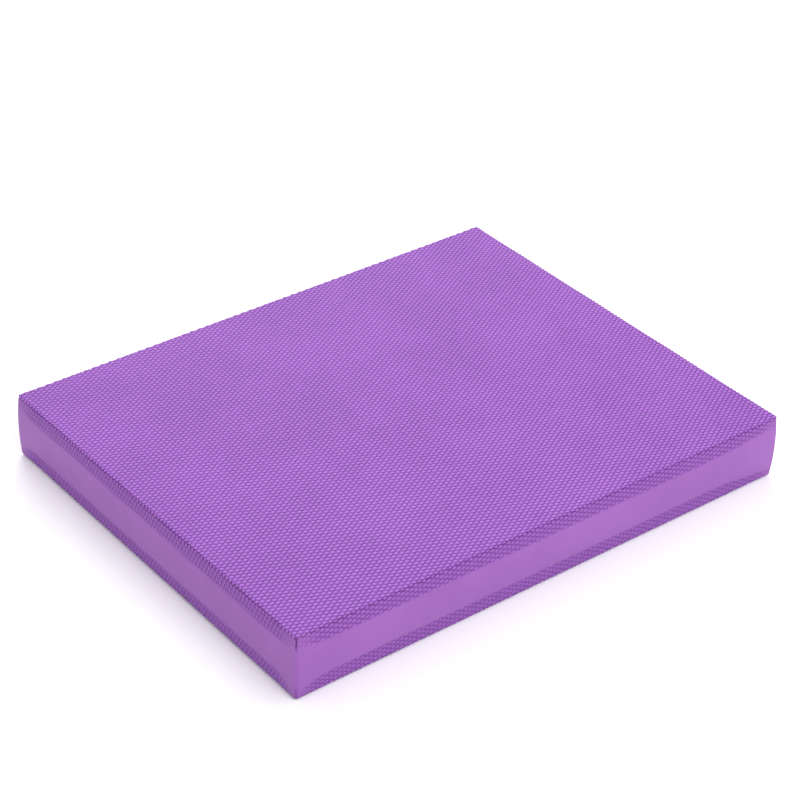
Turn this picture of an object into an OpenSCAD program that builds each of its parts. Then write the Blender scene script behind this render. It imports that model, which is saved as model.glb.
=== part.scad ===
// Foam balance pad. Three bonded sheets of foam make the core. An embossed skin
// covers each face and wraps a little way over the edges, and a smooth band closes
// the sides between the two skins.
// X runs along the length, Y across the width, and Z up from the centre of the underside.

/* [Pad] */
// Length, between the fullest points of the two end walls
pad_length = 500; // [300:5:600]
// Width, between the fullest points of the two long walls
pad_width = 400; // [250:5:500]
// Thickness, from the underside to the standing face
pad_height = 60; // [50:1:80]
// How far each wall swells out between its upper and lower edges
side_bulge = 1.6; // [0:0.2:2]
// Radius of the four upright corners, where the walls are fullest
corner_radius = 5.5; // [5.5:0.5:20]
// Radius along the edges of the standing face
upper_edge_radius = 1.5; // [0.5:0.5:3]
// Radius along the edges of the underside
lower_edge_radius = 3; // [0.5:0.5:3]

/* [Skins] */
// Thickness of the two embossed skins and of the side band
skin_thickness = 2; // [1:0.25:3]
// How far the upper skin wraps down the walls
upper_wrap = 15; // [8:1:20]
// How far the lower skin wraps up the walls
lower_wrap = 17; // [8:1:20]

/* [Foam core] */
// Thickness of the core's upper and lower sheets; the middle sheet takes the rest
outer_sheet = 19; // [12:0.5:19]

/* [Colours] */
// Colour of the embossed skins
skin_colour = "mediumorchid"; // [mediumorchid, steelblue, seagreen, dimgray]
// Colour of the smooth side band
band_colour = "orchid"; // [orchid, lightsteelblue, mediumseagreen, darkgray]
// Colour of the foam inside
core_colour = "plum"; // [plum, lavender, honeydew, gainsboro]

/* [Hidden] */
$fn = 64;

// flat steps that make up each rounded edge, and the whole swell of a wall
edge_steps = 4;
wall_steps = 8;
// how far a cutting block runs past the solid that it cuts
cut_margin = 1;

band_bottom = lower_wrap;
band_top = pad_height - upper_wrap;
core_bottom = skin_thickness;
core_top = pad_height - skin_thickness;
lower_joint = core_bottom + outer_sheet;
upper_joint = core_top - outer_sheet;

// How far the wall stands in from its fullest line at a height, from the swell alone
function swell_inset(height) = side_bulge * pow(1 - 2 * height / pad_height, 2);

// How far a quarter-round edge cuts in at a distance from the face that it leads to
function edge_inset(radius, distance) =
    distance < radius ? radius - sqrt(pow(radius, 2) - pow(radius - distance, 2)) : 0;

function outer_inset(height) = swell_inset(height)
    + edge_inset(lower_edge_radius, height)
    + edge_inset(upper_edge_radius, pad_height - height);

// Distances from a face at which a quarter-round edge has its steps
function edge_distances(radius) =
    [for (step = [0 : edge_steps]) radius * (1 - cos(90 * step / edge_steps))];

function wall_heights() = [
    for (distance = edge_distances(lower_edge_radius)) distance,
    for (step = [1 : wall_steps - 1]) pad_height * step / wall_steps,
    for (step = [edge_steps : -1 : 0]) pad_height - edge_distances(upper_edge_radius)[step],
];

// Outlines as [inset, height] pairs from the bottom up: the outer surface, and the core's
outer_outline = [for (height = wall_heights()) [outer_inset(height), height]];
core_outline = concat(
    [[skin_thickness + swell_inset(core_bottom), core_bottom]],
    [for (height = wall_heights()) if (height > core_bottom && height < core_top)
        [skin_thickness + swell_inset(height), height]],
    [[skin_thickness + swell_inset(core_top), core_top]]
);

// Section across the whole pad, for walls that are fullest at reach
module full_section(reach, outline) {
    last = len(outline) - 1;
    polygon(concat(
        [for (point = outline) [reach - point[0], point[1]]],
        [for (i = [last : -1 : 0]) [outline[i][0] - reach, outline[i][1]]]
    ));
}

// Section of one upright corner, from its own axis outwards
module corner_section(outline) {
    last = len(outline) - 1;
    polygon(concat(
        [[0, outline[0][1]]],
        [for (point = outline) [corner_radius - point[0], point[1]]],
        [[0, outline[last][1]]]
    ));
}

// A solid slab with four straight walls and four turned corners that all follow one outline
module slab(outline) {
    straight_x = pad_length - 2 * corner_radius;
    straight_y = pad_width - 2 * corner_radius;
    rotate([90, 0, 0])
        linear_extrude(height = straight_y, center = true)
            full_section(pad_length / 2, outline);
    rotate([90, 0, 90])
        linear_extrude(height = straight_x, center = true)
            full_section(pad_width / 2, outline);
    for (quarter = [0 : 3]) {
        side_x = quarter == 0 || quarter == 3 ? 1 : -1;
        side_y = quarter < 2 ? 1 : -1;
        translate([side_x * straight_x / 2, side_y * straight_y / 2, 0])
            rotate([0, 0, 90 * quarter])
                rotate_extrude(angle = 90)
                    corner_section(outline);
    }
}

// What lies between two heights
module between(low, high) {
    intersection() {
        children();
        translate([-pad_length / 2 - cut_margin, -pad_width / 2 - cut_margin, low])
            cube([pad_length + 2 * cut_margin, pad_width + 2 * cut_margin, high - low]);
    }
}

// The closed skin around the whole core, before it is parted into skins and band
module shell() {
    difference() {
        slab(outer_outline);
        slab(core_outline);
    }
}

module core_layer(low, high) {
    color(core_colour)
        between(low, high)
            slab(core_outline);
}

module bottom_skin() {
    color(skin_colour)
        between(-cut_margin, band_bottom)
            shell();
}

module core_bottom_layer() {
    core_layer(core_bottom - cut_margin, lower_joint);
}

module core_middle_layer() {
    core_layer(lower_joint, upper_joint);
}

module core_top_layer() {
    core_layer(upper_joint, core_top + cut_margin);
}

module side_band() {
    color(band_colour)
        between(band_bottom, band_top)
            shell();
}

module top_skin() {
    color(skin_colour)
        between(band_top, pad_height + cut_margin)
            shell();
}

bottom_skin();
core_bottom_layer();
core_middle_layer();
core_top_layer();
side_band();
top_skin();
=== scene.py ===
import math

import bmesh
import bpy
import numpy as np
from mathutils import Matrix, Vector


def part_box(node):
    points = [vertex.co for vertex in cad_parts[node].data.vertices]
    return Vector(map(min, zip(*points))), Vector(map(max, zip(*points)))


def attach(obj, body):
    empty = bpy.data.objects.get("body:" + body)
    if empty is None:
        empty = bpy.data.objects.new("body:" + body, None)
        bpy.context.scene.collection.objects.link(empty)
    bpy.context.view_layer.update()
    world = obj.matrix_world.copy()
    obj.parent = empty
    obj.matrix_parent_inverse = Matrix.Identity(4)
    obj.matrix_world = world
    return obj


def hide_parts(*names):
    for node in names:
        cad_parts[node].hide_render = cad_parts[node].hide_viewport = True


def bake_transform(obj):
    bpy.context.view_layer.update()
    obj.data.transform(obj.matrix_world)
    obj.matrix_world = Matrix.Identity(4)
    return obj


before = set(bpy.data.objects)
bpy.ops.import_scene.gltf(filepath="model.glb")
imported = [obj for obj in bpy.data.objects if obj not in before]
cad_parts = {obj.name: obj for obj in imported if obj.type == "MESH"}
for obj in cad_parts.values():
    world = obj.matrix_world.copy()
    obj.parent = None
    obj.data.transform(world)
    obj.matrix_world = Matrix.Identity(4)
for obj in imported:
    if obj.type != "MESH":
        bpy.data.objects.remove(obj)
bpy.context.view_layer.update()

# ---------------------------------------------------------------- sizes, in metres

MM = 0.001
BAND_LOW, BAND_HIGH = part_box("side_band")
SKIN_LOW, SKIN_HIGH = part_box("top_skin")
HALF_LENGTH = BAND_HIGH.x           # the walls are fullest here
HALF_WIDTH = BAND_HIGH.y
HEIGHT = SKIN_HIGH.z
UPPER_WRAP = HEIGHT - SKIN_LOW.z    # how far each embossed skin comes over its edge
LOWER_WRAP = BAND_LOW.z
SKIN = 2 * MM                       # thickness of the skins and of the side band
SWELL = 1.6 * MM                    # how far a wall stands in again at its two edges
CORNER_RADIUS = 4.5 * MM            # upright corners, where the walls are fullest
UPPER_EDGE = 1.5 * MM               # radius along the edges of the standing face
LOWER_EDGE = 2.8 * MM               # radius along the edges of the underside
CORE_GAP = 0.05 * MM                # between the core's sides and the skins around them

# The embossing: rows of lozenge bumps, staggered, and turned a little from the pad's length
COLUMN_PITCH = 4.15 * MM            # between neighbouring columns, along the length
ROW_PITCH = 4.18 * MM               # between bumps in one column, across the width
PATTERN_TURN = math.radians(2.4)
EMBOSS_DEPTH = 0.95 * MM
WALL_SHALLOW = 0.25                 # how much shallower it is on the walls, as a share
UNEVEN = 0.1                        # how much bumps differ from each other in height, as a share
NOTCH_PLACE = 1.4 * MM              # the grooves are deepest this far below the edge,
NOTCH_SPREAD = 1.2 * MM             # over this far,
NOTCH_EXTRA = 1.0                   # by this much more than on the face, as a share
FADE = 2.5 * MM                     # the embossing dies out over this far on the walls
RIM_PLAIN = 0.3 * MM                # the skin's rim stays plain over this far
BAND_AT_CORNER = 9 * MM             # how far the embossing reaches down the wall at a corner
BAND_RUN = 62 * MM                  # along the wall from there to its full reach, at mid length
BAND_SKEW = 0.5                     # the run is longer by this share at the +X end, and shorter
                                    # by as much at the other
FAINT_AT_CORNER = 0.35              # strength of the embossing on the walls at a corner,
FAINT_RUN = 25 * MM                 # rising to its full strength over this far
WALL_START = 2 * MM                 # what is different on the walls begins over this far

# The pinch where the flat skin is gathered at a corner: two short arms that meet in a stem
CREASE_DEPTH = 1.3 * MM
CREASE_WIDTH = 0.8 * MM
CREASE_REACH = 14.5 * MM
CREASE_ARM = 2.2 * MM               # how far along the wall each arm starts
CREASE_FORK = 3.5 * MM              # how far below the edge the arms meet
CREASE_FADE = 0.6                   # it begins to die out at this share of its reach
UPPER_PINCH, LOWER_PINCH = 1.0, 0.5  # how strong the pinch is on each skin
FINE_REACH = 6 * MM                 # the mesh is finer this near to a corner
FINE_CUTS = 2                       # cuts across each edge of the mesh there
DEEPEST = 1.8 * MM                  # nothing is sunk deeper than this into the 2 mm skin

# Lengths of mesh faces, and distances within which two places count as the same
INNER_STEP = 12 * MM
BAND_STEP, BAND_ROWS = 6 * MM, 15
CORE_STEP, CORE_ROWS = 12 * MM, 4
ARC_STEPS = 12                      # in each rounded corner of a ring
ON_CUT = 2e-6
ON_LINE = 1e-6
SEWN = 3e-6
SLIVER = 5e-6
ON_RIM = 1e-5


def smoothstep(value, low, high):
    t = np.clip((value - low) / (high - low), 0, 1)
    return t * t * (3 - 2 * t)


# ---------------------------------------------------------------- the pad's base surface

def wall_inset(z):
    """How far a wall stands in from its fullest line at height z."""
    return SWELL * (1 - 2 * z / HEIGHT) ** 2


def round_plan(x, y, inset):
    """Rounds the upright corners of a rectangle that stands in by inset.

    Gives the new places, the outward directions, and the distances from the wall.
    """
    centre_x = HALF_LENGTH - CORNER_RADIUS
    centre_y = HALF_WIDTH - CORNER_RADIUS
    qx, qy = np.abs(x) - centre_x, np.abs(y) - centre_y
    in_corner = (qx > 0) & (qy > 0)
    reach = np.maximum(qx, qy)
    length = np.where(in_corner, np.hypot(qx, qy), 1)
    new_x = np.where(in_corner, centre_x + qx * reach / length, np.abs(x))
    new_y = np.where(in_corner, centre_y + qy * reach / length, np.abs(y))
    from_x = HALF_LENGTH - inset - np.abs(x)
    from_y = HALF_WIDTH - inset - np.abs(y)
    out_x = np.where(in_corner, qx / length, from_x < from_y)
    out_y = np.where(in_corner, qy / length, from_x >= from_y)
    from_wall = np.where(in_corner, CORNER_RADIUS - inset - reach, np.minimum(from_x, from_y))
    side_x, side_y = np.sign(x), np.sign(y)
    return new_x * side_x, new_y * side_y, out_x * side_x, out_y * side_y, from_wall


# Half the length and width of the standing face, where a flat skin is folded down the walls
FACE_X = HALF_LENGTH - wall_inset(HEIGHT)
FACE_Y = HALF_WIDTH - wall_inset(HEIGHT)


def fold_sheet(a, b, edge_radius):
    """Folds a flat cross-shaped sheet over the pad's upper edges: the surface's points at a, b."""
    down_x, down_y = np.abs(a) - FACE_X, np.abs(b) - FACE_Y
    depth = np.maximum(np.maximum(down_x, down_y), 0)
    z = HEIGHT - depth
    inset = wall_inset(z)
    on_x = (down_x > 0) & (down_x >= down_y)
    on_y = (down_y > 0) & ~on_x
    x = np.where(on_x, np.sign(a) * (HALF_LENGTH - inset), a)
    y = np.where(on_y, np.sign(b) * (HALF_WIDTH - inset), b)
    y = np.where(on_x, b * (HALF_WIDTH - inset) / FACE_Y, y)
    x = np.where(on_y, a * (HALF_LENGTH - inset) / FACE_X, x)
    x, y, out_x, out_y, from_wall = round_plan(x, y, inset)
    from_wall = np.where(depth > 0, 0, np.maximum(from_wall, 0))
    near_face = (depth == 0) & (from_wall < edge_radius)
    near_wall = (depth > 0) & (depth < edge_radius)
    angle = np.where(
        near_face,
        np.arctan2(edge_radius - from_wall, edge_radius),
        np.arctan2(edge_radius, edge_radius - depth),
    )
    rounded = near_face | near_wall
    new_from = np.where(rounded, edge_radius * (1 - np.sin(angle)), from_wall)
    shift = np.where(rounded, from_wall - new_from, 0)
    z = np.where(rounded, HEIGHT - edge_radius * (1 - np.cos(angle)), z)
    return np.stack([x + out_x * shift, y + out_y * shift, z], axis=1)


def places_on_sheet(a, b):
    """Distance down the wall from the edge, and along the wall from the nearest corner."""
    down_x, down_y = np.abs(a) - FACE_X, np.abs(b) - FACE_Y
    depth = np.maximum(np.maximum(down_x, down_y), 0)
    along = np.where(down_x > down_y, -down_y, -down_x)
    return depth, np.maximum(along, 0)


# ---------------------------------------------------------------- the embossing

def lattice_vectors():
    """The steps to the two neighbouring bumps, in the pad's plane."""
    turn = np.array([[math.cos(PATTERN_TURN), -math.sin(PATTERN_TURN)],
                     [math.sin(PATTERN_TURN), math.cos(PATTERN_TURN)]])
    first = turn @ np.array([COLUMN_PITCH, ROW_PITCH / 2])
    second = turn @ np.array([COLUMN_PITCH, -ROW_PITCH / 2])
    return first, second


def ring_of_bump(length, side, width, corner_height, side_height):
    """Eight points around a bump, in steps of the two lattice vectors: (first, second, height).

    Four lie on the lozenge's diagonals, along the pad's length and width, and the other four
    on the middles of its sides.
    """
    return [
        (length, length, corner_height),
        (side, 0, side_height),
        (width, -width, corner_height),
        (0, -side, side_height),
        (-length, -length, corner_height),
        (-side, 0, side_height),
        (-width, width, corner_height),
        (0, side, side_height),
    ]


CROWN = [(0, 0, 1.0)]
SHOULDER = ring_of_bump(0.25, 0.37, 0.38, 0.5, 0.52)
GROOVE = ring_of_bump(0.5, 0.5, 0.5, 0.0, 0.08)
RING_POINTS = len(GROOVE)
GROOVE_TOP = 0.3                    # points below this height belong to the groove, which is even
KEY_STEPS = 100                     # points that neighbouring bumps share fall on one whole number
BUMP_SEED = 7


def embossed_sheet(wrap):
    """A flat mesh of bumps that covers the unfolded skin. A vertex is (a, b, height from 0 to 1)."""
    first, second = lattice_vectors()
    half_a, half_b = HALF_LENGTH + wrap, HALF_WIDTH + wrap
    reach = int(1.5 * (half_a + half_b) / COLUMN_PITCH)
    i, j = np.meshgrid(np.arange(-reach, reach), np.arange(-reach, reach), indexing="ij")
    i, j = i.ravel(), j.ravel()
    at = np.outer(i, first) + np.outer(j, second)
    margin = 2 * COLUMN_PITCH
    keep = (np.abs(at[:, 0]) < half_a + margin) & (np.abs(at[:, 1]) < half_b + margin)
    over_x = np.abs(at[:, 0]) > HALF_LENGTH + margin
    over_y = np.abs(at[:, 1]) > HALF_WIDTH + margin
    keep &= ~(over_x & over_y)
    i, j = i[keep], j[keep]
    points = np.array(CROWN + SHOULDER + GROOVE)
    u = np.rint((i[:, None] + points[:, 0]) * KEY_STEPS).astype(np.int64)
    v = np.rint((j[:, None] + points[:, 1]) * KEY_STEPS).astype(np.int64)
    uneven = 1 + UNEVEN * np.random.default_rng(BUMP_SEED).uniform(-1, 1, (len(i), 1))
    h = np.where(points[:, 2] > GROOVE_TOP, points[:, 2] * uneven, points[:, 2])
    h = np.minimum(h, 1)
    span = 4 * reach * KEY_STEPS
    keys = (u * span + v).ravel()
    where, index = np.unique(keys, return_index=True, return_inverse=True)[1:]
    u, v, h = u.ravel()[where] / KEY_STEPS, v.ravel()[where] / KEY_STEPS, h.ravel()[where]
    ab = np.outer(u, first) + np.outer(v, second)
    index = index.reshape(len(i), len(points))
    ring, groove = len(CROWN), len(CROWN) + RING_POINTS
    tris, quads = [], []
    for k in range(RING_POINTS):
        n = (k + 1) % RING_POINTS
        tris.append(index[:, [0, ring + n, ring + k]])
        quads.append(index[:, [ring + k, ring + n, groove + n, groove + k]])
    return np.column_stack([ab, h]), np.concatenate(tris), np.concatenate(quads)


def plain_sheet(wrap):
    """The same, with no bumps, for the inner face of a skin."""
    half_a, half_b = HALF_LENGTH + wrap + INNER_STEP, HALF_WIDTH + wrap + INNER_STEP
    na, nb = int(2 * half_a / INNER_STEP) + 1, int(2 * half_b / INNER_STEP) + 1
    places_a, places_b = np.linspace(-half_a, half_a, na), np.linspace(-half_b, half_b, nb)
    a, b = np.meshgrid(places_a, places_b, indexing="ij")
    points = np.column_stack([a.ravel(), b.ravel(), np.zeros(a.size)])
    k = np.arange(na * nb).reshape(na, nb)
    quads = np.stack([k[:-1, :-1], k[1:, :-1], k[1:, 1:], k[:-1, 1:]], axis=-1)
    return points, np.zeros((0, 3), int), quads.reshape(-1, 4)


def mesh_from_arrays(name, points, tris, quads):
    mesh = bpy.data.meshes.new(name)
    mesh.vertices.add(len(points))
    mesh.vertices.foreach_set("co", np.asarray(points, np.float32).ravel())
    loops = np.concatenate([tris.ravel(), quads.ravel()])
    starts = np.concatenate([
        np.arange(len(tris)) * 3,
        len(tris) * 3 + np.arange(len(quads)) * 4,
    ])
    mesh.loops.add(len(loops))
    mesh.loops.foreach_set("vertex_index", loops.astype(np.int32))
    mesh.polygons.add(len(starts))
    mesh.polygons.foreach_set("loop_start", starts.astype(np.int32))
    mesh.update(calc_edges=True)
    mesh.validate()
    return mesh


def cut_cross(bm, edge_radius, wrap):
    """Cuts the flat sheet along the folds and to its cross shape."""
    for outward, face in ((Vector((1, 0, 0)), FACE_X), (Vector((0, 1, 0)), FACE_Y)):
        for normal in (-outward, outward):
            for place, trim in (
                (face - edge_radius, False),
                (face, False),
                (face + edge_radius, False),
                (face + wrap, True),
            ):
                bmesh.ops.bisect_plane(
                    bm, geom=bm.verts[:] + bm.edges[:] + bm.faces[:], dist=ON_CUT,
                    plane_co=normal * place, plane_no=normal, clear_outer=trim,
                )
    outside = []
    for face in bm.faces:
        centre = face.calc_center_median()
        if abs(centre.x) > FACE_X and abs(centre.y) > FACE_Y:
            outside.append(face)
    bmesh.ops.delete(bm, geom=outside, context="FACES")
    loose = [v for v in bm.verts if not v.link_faces]
    bmesh.ops.delete(bm, geom=loose, context="VERTS")


def corner_side(bm, axis, sign_x, sign_y):
    """The edges of one side of a corner cut, which runs outwards along an axis."""
    folds = (FACE_X, FACE_Y)
    other = 1 - axis
    edges = []
    for edge in bm.edges:
        if not edge.is_boundary:
            continue
        places = [(v.co.x * sign_x, v.co.y * sign_y) for v in edge.verts]
        if all(
            abs(place[other] - folds[other]) < ON_LINE and place[axis] > folds[axis] - ON_LINE
            for place in places
        ):
            edges.append(edge)
    return edges


def split_at_depths(edge, axis, fold, depths):
    """Splits an edge of a corner cut at the depths beyond the fold that fall within it."""
    start, end = sorted(edge.verts, key=lambda v: abs(v.co[axis]))
    first, last = abs(start.co[axis]) - fold, abs(end.co[axis]) - fold
    for depth in [d for d in depths if first + ON_LINE < d < last - ON_LINE]:
        length = abs(edge.other_vert(start).co[axis]) - abs(start.co[axis])
        share = (depth + fold - abs(start.co[axis])) / length
        vert = bmesh.utils.edge_split(edge, start, share)[1]
        rim = [e for e in vert.link_edges if e.is_boundary]
        edge = [e for e in rim if start not in e.verts][0]
        start = vert


def match_corners(bm):
    """Gives the two sides of each corner cut the same points, so that they can be sewn."""
    folds = (FACE_X, FACE_Y)
    for sign_x, sign_y in ((-1, -1), (-1, 1), (1, -1), (1, 1)):
        sides = [corner_side(bm, axis, sign_x, sign_y) for axis in (0, 1)]
        depths = [
            sorted({round(abs(v.co[axis]) - folds[axis], 7) for e in sides[axis] for v in e.verts})
            for axis in (0, 1)
        ]
        for axis, edges in enumerate(sides):
            for edge in edges:
                split_at_depths(edge, axis, folds[axis], depths[1 - axis])


def refine_corners(bm):
    """Divides the faces around each corner cut, so that the crease has a clean shape."""
    edges = {}                       # a dict keeps the order, so every run makes the same mesh
    for face in bm.faces:
        centre = face.calc_center_median()
        depth, along = places_on_sheet(centre.x, centre.y)
        if depth > 0 and along < FINE_REACH:
            edges.update(dict.fromkeys(face.edges))
    bmesh.ops.subdivide_edges(bm, edges=list(edges), cuts=FINE_CUTS, use_grid_fill=True)


def boundary_edges(bm):
    return [e for e in bm.edges if e.is_boundary]


def emboss_amount(a, b, wrap):
    """How strong the embossing is on the sheet: full on the face, dying out down the walls."""
    depth, along = places_on_sheet(a, b)
    full_reach = wrap - RIM_PLAIN
    run = BAND_RUN * (1 + BAND_SKEW * a / HALF_LENGTH)
    reach = BAND_AT_CORNER + (full_reach - BAND_AT_CORNER) * smoothstep(along / run, -0.15, 1)
    # Near the corners the line where it ends isn't quite straight
    sway = 0.8 * MM * np.sin(along / (23 * MM)) + 0.5 * MM * np.sin(along / (9 * MM) + 1)
    sway *= 1 - smoothstep(reach, full_reach - 2 * MM, full_reach)
    reach = np.minimum(reach + sway, full_reach)
    down_wall = 1 - smoothstep(depth, reach - FADE, reach)
    rise = smoothstep(along, 1 * MM, FAINT_RUN)
    by_corner = np.where(depth > 0, FAINT_AT_CORNER + (1 - FAINT_AT_CORNER) * rise, 1)
    return down_wall * by_corner


def notch_amount(a, b):
    """The grooves bite deeper just below the edge, where the skin is bent over it; the same amount sets
    the painted shade there.
    """
    depth, along = places_on_sheet(a, b)
    notch = np.exp(-((depth - NOTCH_PLACE) / NOTCH_SPREAD) ** 2)
    return notch * np.where(depth > 0, smoothstep(along, 0.5 * MM, 4 * MM), 0)


def crease_amount(a, b):
    """The pinch at each upright corner, from 0 to 1, which also sets the painted shade in it."""
    depth, along = places_on_sheet(a, b)
    fork = CREASE_ARM * np.clip(1 - depth / CREASE_FORK, 0, 1)
    pinch = np.exp(-((along - fork) / CREASE_WIDTH) ** 2)
    pinch *= 1 - smoothstep(depth, CREASE_REACH * CREASE_FADE, CREASE_REACH)
    pinch *= smoothstep(depth, -0.5 * MM, 1.5 * MM)
    return np.where(depth > 0, pinch, 0)


def coords(mesh):
    co = np.zeros(len(mesh.vertices) * 3, np.float32)
    mesh.vertices.foreach_get("co", co)
    return co.reshape(-1, 3).astype(float)


def normals(mesh):
    out = np.zeros(len(mesh.vertices) * 3, np.float32)
    mesh.vertices.foreach_get("normal", out)
    return out.reshape(-1, 3).astype(float)


def set_coords(mesh, co):
    mesh.vertices.foreach_set("co", co.astype(np.float32).ravel())
    mesh.update()


def add_value(mesh, name, values):
    layer = mesh.attributes.new(name, "FLOAT", "POINT")
    layer.data.foreach_set("value", np.asarray(values, np.float32))


def read_values(mesh, name):
    values = np.zeros(len(mesh.vertices), np.float32)
    mesh.attributes[name].data.foreach_get("value", values)
    return values


def folded_sheet(name, flat, edge_radius, wrap, offset, pinch):
    """Cuts and folds a flat sheet over the pad and sews its corners.

    Then the embossing and the corner creases are pressed into it, or, where an offset is
    given, it is only sunk by that.
    """
    points, tris, quads = flat
    mesh = mesh_from_arrays(name, points, tris, quads)
    bm = bmesh.new()
    bm.from_mesh(mesh)
    cut_cross(bm, edge_radius, wrap)
    match_corners(bm)
    if not offset:
        refine_corners(bm)
    bm.to_mesh(mesh)
    bm.free()
    sheet = coords(mesh)
    a, b, height = sheet.T
    add_value(mesh, "emboss", emboss_amount(a, b, wrap))
    add_value(mesh, "height", height)
    add_value(mesh, "notch", notch_amount(a, b))
    add_value(mesh, "wall", smoothstep(places_on_sheet(a, b)[0], 0, WALL_START))
    add_value(mesh, "crease", crease_amount(a, b) * pinch)
    set_coords(mesh, fold_sheet(a, b, edge_radius))
    bm = bmesh.new()
    bm.from_mesh(mesh)
    rim = dict.fromkeys(v for e in boundary_edges(bm) for v in e.verts)
    bmesh.ops.remove_doubles(bm, verts=list(rim), dist=SEWN)
    bmesh.ops.recalc_face_normals(bm, faces=bm.faces[:])
    bm.normal_update()
    bm.to_mesh(mesh)
    bm.free()
    mesh.update()
    place = coords(mesh)
    up = normals(mesh)
    middle = np.argmax(place[:, 2] - np.hypot(place[:, 0], place[:, 1]))
    if up[middle, 2] < 0:
        mesh.flip_normals()
        up = -up
    if offset:
        sunk = np.full(len(place), offset)
    else:
        # The bumps reach up to the pad's own surface, and the grooves are sunk below it
        strength = read_values(mesh, "emboss") * (1 + NOTCH_EXTRA * read_values(mesh, "notch"))
        strength *= 1 - WALL_SHALLOW * read_values(mesh, "wall")
        sunk = EMBOSS_DEPTH * strength * (1 - read_values(mesh, "height"))
        sunk = np.minimum(sunk + CREASE_DEPTH * read_values(mesh, "crease"), DEEPEST)
    set_coords(mesh, place - up * sunk[:, None])
    return mesh


def skin_object(name, edge_radius, wrap, pinch, underside):
    """One embossed skin: the outer sheet, a plain inner face, and the rim that joins them."""
    outer = folded_sheet(name, embossed_sheet(wrap), edge_radius, wrap, 0, pinch)
    inner = folded_sheet(name + "_inner", plain_sheet(wrap), edge_radius, wrap, SKIN, 0)
    inner.flip_normals()
    bm = bmesh.new()
    bm.from_mesh(outer)
    outer_rim = boundary_edges(bm)
    bm.from_mesh(inner)
    known = set(outer_rim)
    inner_rim = [e for e in boundary_edges(bm) if e not in known]
    bmesh.ops.bridge_loops(bm, edges=outer_rim + inner_rim)
    bmesh.ops.dissolve_degenerate(bm, dist=SLIVER, edges=bm.edges[:])
    rim_height = HEIGHT - wrap
    for e in bm.edges:
        e.smooth = max(abs(v.co.z - rim_height) for v in e.verts) > ON_RIM
    for face in bm.faces:
        face.smooth = True
    if underside:
        bmesh.ops.transform(
            bm, verts=bm.verts[:],
            matrix=Matrix.Translation((0, 0, HEIGHT)) @ Matrix.Diagonal((1, 1, -1, 1)),
        )
        bmesh.ops.reverse_faces(bm, faces=bm.faces[:])
    bm.to_mesh(outer)
    bm.free()
    bpy.data.meshes.remove(inner)
    outer.update()
    piece = bpy.data.objects.new(name, outer)
    bpy.context.scene.collection.objects.link(piece)
    return piece


# ---------------------------------------------------------------- the side band and the core

def outline_points(inset, spacing):
    """Points around the pad's plan, standing in by inset, with rounded corners, anticlockwise."""
    radius = max(CORNER_RADIUS - inset, 0.5 * MM)
    centre_x, centre_y = HALF_LENGTH - CORNER_RADIUS, HALF_WIDTH - CORNER_RADIUS
    points = []
    for quarter in range(4):
        sx = 1 if quarter in (0, 3) else -1
        sy = 1 if quarter in (0, 1) else -1
        for k in range(ARC_STEPS + 1):
            angle = math.pi / 2 * (quarter + k / ARC_STEPS)
            x = sx * centre_x + radius * math.cos(angle)
            y = sy * centre_y + radius * math.sin(angle)
            points.append((x, y))
        run = 2 * (centre_x if quarter % 2 == 0 else centre_y)
        n = int(run / spacing)
        x0, y0 = points[-1]
        for k in range(1, n):
            share = k / n
            if quarter % 2 == 0:
                points.append((x0 - sx * run * share, y0))
            else:
                points.append((x0, y0 - sy * run * share))
    return points


def ring_mesh(rings):
    """A mesh through rings of points, one after another, open at its two ends."""
    bm = bmesh.new()
    rows = [[bm.verts.new(p) for p in ring] for ring in rings]
    for low, high in zip(rows, rows[1:]):
        join_rows(bm, low, high)
    return bm, rows


def join_rows(bm, low, high):
    for k in range(len(low)):
        n = (k + 1) % len(low)
        bm.faces.new((low[k], low[n], high[n], high[k]))


def sharpen_row(row):
    """Marks the edges around one ring as sharp."""
    ring = set(row)
    for v in row:
        for e in v.link_edges:
            if e.other_vert(v) in ring:
                e.smooth = False


def piece_from_rings(name, bm, sharp_rows):
    for face in bm.faces:
        face.smooth = True
    for row in sharp_rows:
        sharpen_row(row)
    bmesh.ops.recalc_face_normals(bm, faces=bm.faces[:])
    mesh = bpy.data.meshes.new(name)
    bm.to_mesh(mesh)
    bm.free()
    piece = bpy.data.objects.new(name, mesh)
    bpy.context.scene.collection.objects.link(piece)
    return piece


def wall_ring(z, inset, spacing):
    return [(x, y, z) for x, y in outline_points(inset, spacing)]


def heights_between(low, high, rows):
    return [low + (high - low) * k / rows for k in range(rows + 1)]


def side_band_object(name):
    """The smooth band: a swollen strip around the sides, between the two skins."""
    heights = heights_between(BAND_LOW.z, BAND_HIGH.z, BAND_ROWS)
    outer = [wall_ring(z, wall_inset(z), BAND_STEP) for z in heights]
    inner = [wall_ring(z, wall_inset(z) + SKIN, BAND_STEP) for z in reversed(heights)]
    bm, rows = ring_mesh(outer + inner)
    join_rows(bm, rows[-1], rows[0])
    rims = (0, len(heights) - 1, len(heights), len(rows) - 1)
    return piece_from_rings(name, bm, [rows[r] for r in rims])


def core_object(name, node):
    """One foam sheet of the core: a slab with cut sides."""
    low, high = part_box(node)
    heights = heights_between(low.z, high.z, CORE_ROWS)
    rings = [wall_ring(z, wall_inset(z) + SKIN + CORE_GAP, CORE_STEP) for z in heights]
    bm, rows = ring_mesh(rings)
    bm.faces.new(list(reversed(rows[0])))
    bm.faces.new(rows[-1])
    return piece_from_rings(name, bm, [rows[0], rows[-1]])


# ---------------------------------------------------------------- materials

def srgb(red, green, blue):
    """A linear colour from 8-bit display values."""
    def linear(c):
        c /= 255
        return c / 12.92 if c <= 0.04045 else ((c + 0.055) / 1.055) ** 2.4
    return (linear(red), linear(green), linear(blue), 1)


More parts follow.
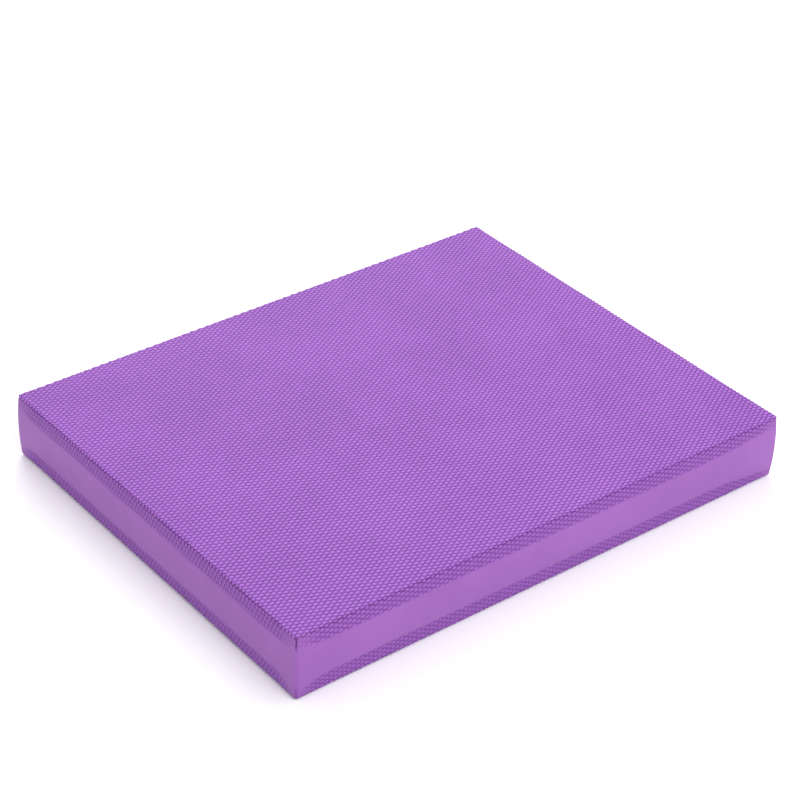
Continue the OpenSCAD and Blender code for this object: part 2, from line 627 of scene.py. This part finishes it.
class Nodes:
    """A short way to build a node material."""

    def __init__(self, name):
        self.material = bpy.data.materials.new(name)
        self.material.use_nodes = True
        self.tree = self.material.node_tree
        self.tree.nodes.clear()
        self.output = self.add("ShaderNodeOutputMaterial")
        self.shader = self.add("ShaderNodeBsdfPrincipled")
        self.link(self.shader.outputs[0], self.output.inputs[0])

    def add(self, kind, **settings):
        node = self.tree.nodes.new(kind)
        for key, value in settings.items():
            setattr(node, key, value)
        return node

    def link(self, source, target):
        self.tree.links.new(source, target)

    def set(self, target, value):
        if isinstance(value, bpy.types.NodeSocket):
            self.link(value, target)
        else:
            target.default_value = value

    def math(self, operation, first, second):
        node = self.add("ShaderNodeMath", operation=operation)
        self.set(node.inputs[0], first)
        self.set(node.inputs[1], second)
        return node.outputs[0]

    def mix(self, share, first, second):
        node = self.add("ShaderNodeMix", data_type="RGBA")
        factor, colour_a, colour_b = node.inputs[0], node.inputs[6], node.inputs[7]
        self.set(factor, share)
        self.set(colour_a, first)
        self.set(colour_b, second)
        return node.outputs[2]

    def attribute(self, name):
        return self.add("ShaderNodeAttribute", attribute_name=name)

    def noise(self, vector, scale, detail, roughness):
        node = self.add("ShaderNodeTexNoise")
        self.link(vector, node.inputs["Vector"])
        node.inputs["Scale"].default_value = scale
        node.inputs["Detail"].default_value = detail
        node.inputs["Roughness"].default_value = roughness
        return node.outputs["Fac"]

    def remap(self, value, low, high, to_low, to_high):
        node = self.add("ShaderNodeMapRange", interpolation_type="SMOOTHSTEP")
        self.set(node.inputs["Value"], value)
        node.inputs["From Min"].default_value = low
        node.inputs["From Max"].default_value = high
        node.inputs["To Min"].default_value = to_low
        node.inputs["To Max"].default_value = to_high
        return node.outputs["Result"]

    def bump(self, height, distance, strength, normal=None):
        node = self.add("ShaderNodeBump")
        node.inputs["Distance"].default_value = distance
        node.inputs["Strength"].default_value = strength
        self.link(height, node.inputs["Height"])
        if normal is not None:
            self.link(normal, node.inputs["Normal"])
        return node.outputs["Normal"]


# Each mottled surface has two near shades of one colour
# Crests are paler as a painted highlight, and grooves darker as painted shade
CREST_PAINTED_HIGHLIGHT_TONES = srgb(162, 96, 197), srgb(168, 101, 202)
GROOVE_PAINTED_SHADE_TONES = srgb(97, 46, 131), srgb(102, 50, 137)
SMOOTH_SHADES = srgb(148, 91, 172), srgb(154, 96, 178)
FOAM_SHADES = srgb(168, 126, 196), srgb(190, 150, 215)
# A weaker painted highlight on the crests and painted shade in the grooves, for the walls
WALL_CREST_PAINTED_HIGHLIGHT = srgb(149, 88, 178)
WALL_GROOVE_PAINTED_SHADE = srgb(118, 62, 148)
# A deep colour painted as shade in the grooves below the edge and in the corner creases
PAINTED_DEEP_SHADE = srgb(62, 20, 92)
ON_WALL = 0.8                       # share of the walls' weaker painted highlight and painted shade on the walls
PAINTED_SHADE_IN_NOTCH = 0.7                      # share of the deep painted shade in the grooves below the edge
PAINTED_SHADE_IN_CREASE = 0.7                     # and of the deep painted shade in the corner creases
SKIN_ROUGH = 0.42, 0.56             # least and most
SKIN_SPECULAR = 0.22
SKIN_SHEEN, SKIN_SHEEN_ROUGH = 0.04, 0.5
FOAM_ROUGH = 0.8
# Scales of the noise in the materials, in cycles to the metre
MOTTLE_SCALE, GRAIN_SCALE, CELL_SCALE, FOAM_SCALE = 14, 900, 3200, 1400
GRAIN_RELIEF, CELL_RELIEF, FOAM_RELIEF = 0.12 * MM, 0.04 * MM, 0.2 * MM


def embossed_colour_and_painted_light(n, mottle, smooth_colour):
    """Paints a highlight on the crests and shade in the grooves, as strongly as the skin is embossed
    there, and painted shade below the edge and in the corner creases.
    """
    height = n.attribute("height").outputs["Fac"]
    amount = n.attribute("emboss").outputs["Fac"]
    notch = n.attribute("notch").outputs["Fac"]
    crease = n.attribute("crease").outputs["Fac"]
    wall = n.attribute("wall").outputs["Fac"]
    low = n.mix(n.remap(mottle, 0.35, 0.65, 0, 1), *GROOVE_PAINTED_SHADE_TONES)
    high = n.mix(n.remap(mottle, 0.3, 0.7, 0, 1), *CREST_PAINTED_HIGHLIGHT_TONES)
    high = n.mix(n.math("MULTIPLY", wall, ON_WALL), high, WALL_CREST_PAINTED_HIGHLIGHT)
    low = n.mix(n.math("MULTIPLY", wall, ON_WALL), low, WALL_GROOVE_PAINTED_SHADE)
    # Painted highlight on the crowns and painted shade in the grooves, by the height of the bump
    bumps = n.mix(n.remap(height, 0.08, 0.8, 0, 1), low, high)
    colour = n.mix(amount, smooth_colour, bumps)
    # Painted shade in the grooves just below the upper edge, where the bumps shade each other
    notch_painted_shade = n.math("MULTIPLY", notch, n.remap(height, 0, 0.7, PAINTED_SHADE_IN_NOTCH, 0))
    colour = n.mix(notch_painted_shade, colour, PAINTED_DEEP_SHADE)
    # Painted shade in the corner creases
    return n.mix(n.math("MULTIPLY", crease, PAINTED_SHADE_IN_CREASE), colour, PAINTED_DEEP_SHADE)


def skin_material(name, embossed):
    """Pressed TPE foam skin, satin, with a fine grain and finer cells."""
    n = Nodes(name)
    place = n.add("ShaderNodeTexCoord").outputs["Object"]
    mottle = n.noise(place, MOTTLE_SCALE, 3, 0.55)
    grain = n.noise(place, GRAIN_SCALE, 2, 0.6)
    cells = n.noise(place, CELL_SCALE, 1, 0.5)
    colour = n.mix(n.remap(mottle, 0.3, 0.7, 0, 1), *SMOOTH_SHADES)
    if embossed:
        # The embossed skin's colour carries painted highlight and painted shade
        colour = embossed_colour_and_painted_light(n, mottle, colour)
    n.link(colour, n.shader.inputs["Base Color"])
    n.link(n.remap(grain, 0.2, 0.8, *SKIN_ROUGH), n.shader.inputs["Roughness"])
    normal = n.bump(grain, GRAIN_RELIEF, 0.35)
    normal = n.bump(cells, CELL_RELIEF, 0.4, normal)
    n.link(normal, n.shader.inputs["Normal"])
    n.shader.inputs["Specular IOR Level"].default_value = SKIN_SPECULAR
    n.shader.inputs["Sheen Weight"].default_value = SKIN_SHEEN
    n.shader.inputs["Sheen Roughness"].default_value = SKIN_SHEEN_ROUGH
    return n.material


def core_material():
    """Cut closed-cell foam, matt, as it shows inside."""
    n = Nodes("cut_foam")
    place = n.add("ShaderNodeTexCoord").outputs["Object"]
    cells = n.noise(place, FOAM_SCALE, 3, 0.6)
    colour = n.mix(n.remap(cells, 0.35, 0.65, 0, 1), *FOAM_SHADES)
    n.link(colour, n.shader.inputs["Base Color"])
    n.shader.inputs["Roughness"].default_value = FOAM_ROUGH
    n.link(n.bump(cells, FOAM_RELIEF, 0.6), n.shader.inputs["Normal"])
    return n.material


def paint(piece, material):
    piece.data.materials.clear()
    piece.data.materials.append(material)


# ---------------------------------------------------------------- the pad

EMBOSSED = skin_material("embossed_skin", True)
PLAIN = skin_material("smooth_skin", False)
FOAM = core_material()

top_skin = skin_object("top_skin_foam", UPPER_EDGE, UPPER_WRAP, UPPER_PINCH, False)
bottom_skin = skin_object("bottom_skin_foam", LOWER_EDGE, LOWER_WRAP, LOWER_PINCH, True)
side_band = side_band_object("side_band_foam")

for piece, node, body in (
    (top_skin, "top_skin", "upper_pad"),
    (bottom_skin, "bottom_skin", "lower_pad"),
):
    paint(piece, EMBOSSED)
    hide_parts(node)
    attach(piece, body)

paint(side_band, PLAIN)
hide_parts("side_band")
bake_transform(side_band)

for node in ("core_bottom_layer", "core_middle_layer", "core_top_layer"):
    layer = core_object(node + "_foam", node)
    paint(layer, FOAM)
    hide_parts(node)
    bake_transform(layer)

# ---------------------------------------------------------------- studio

CAMERA_PLACE = Vector((-1.0492, -1.3016, 1.1709))
CAMERA_FORWARD = Vector((0.5241, 0.6489, -0.5516))
CAMERA_RIGHT = Vector((0.7886, -0.6144, 0.0266))
CAMERA_LENS = 108.2                 # mm, on a sensor 36 mm wide
SENSOR_WIDTH = 36
FLOOR_HALF = 6
FLOOR_DROP = 0.2 * MM               # keeps the floor clear of the underside
FLOOR_GREY = 0.98
FLOOR_ROUGH = 0.9
WORLD_STRENGTH = 0.76
# Name, turn and rise in degrees, distance, size and power
LIGHTS = (
    ("key", -38, 35, 2.4, 0.9, 7),
    ("front", -100, 55, 2.4, 1.2, 19.5),
    ("top", 90, 86, 2.6, 2.2, 2),
    ("back", 60, 40, 2.6, 1.8, 34),
    ("fill", 190, 45, 2.6, 1.4, 0.5),
)


def make_camera():
    data = bpy.data.cameras.new("camera")
    camera = bpy.data.objects.new("camera", data)
    bpy.context.scene.collection.objects.link(camera)
    forward = CAMERA_FORWARD.normalized()
    right = (CAMERA_RIGHT - forward * CAMERA_RIGHT.dot(forward)).normalized()
    up = right.cross(forward)
    camera.matrix_world = Matrix((
        (right.x, up.x, -forward.x, CAMERA_PLACE.x),
        (right.y, up.y, -forward.y, CAMERA_PLACE.y),
        (right.z, up.z, -forward.z, CAMERA_PLACE.z),
        (0, 0, 0, 1),
    ))
    data.lens = CAMERA_LENS
    data.sensor_width = SENSOR_WIDTH
    bpy.context.scene.camera = camera


def make_floor():
    bm = bmesh.new()
    bmesh.ops.create_grid(bm, x_segments=4, y_segments=4, size=FLOOR_HALF)
    mesh = bpy.data.meshes.new("floor")
    bm.to_mesh(mesh)
    bm.free()
    floor = bpy.data.objects.new("floor", mesh)
    bpy.context.scene.collection.objects.link(floor)
    floor.location.z = -FLOOR_DROP
    n = Nodes("floor")
    n.shader.inputs["Base Color"].default_value = (FLOOR_GREY, FLOOR_GREY, FLOOR_GREY, 1)
    n.shader.inputs["Roughness"].default_value = FLOOR_ROUGH
    paint(floor, n.material)


def area_light(name, turn, rise, distance, size, power):
    """A round soft light that faces the pad: turn is from +X towards +Y, and rise is above the floor."""
    data = bpy.data.lights.new(name, "AREA")
    data.shape = "DISK"
    data.size = size
    data.energy = power
    light = bpy.data.objects.new(name, data)
    bpy.context.scene.collection.objects.link(light)
    turn, rise = math.radians(turn), math.radians(rise)
    level = math.cos(rise)
    away = Vector((math.cos(turn) * level, math.sin(turn) * level, math.sin(rise)))
    light.location = away * distance
    light.rotation_mode = "QUATERNION"
    light.rotation_quaternion = (-away).to_track_quat("-Z", "Y")


def make_lights():
    for light in LIGHTS:
        area_light(*light)
    world = bpy.data.worlds.new("studio")
    bpy.context.scene.world = world
    world.use_nodes = True
    background = world.node_tree.nodes["Background"]
    background.inputs["Color"].default_value = (1, 1, 1, 1)
    background.inputs["Strength"].default_value = WORLD_STRENGTH
    bpy.context.scene.view_settings.view_transform = "Standard"


make_camera()
make_floor()
make_lights()
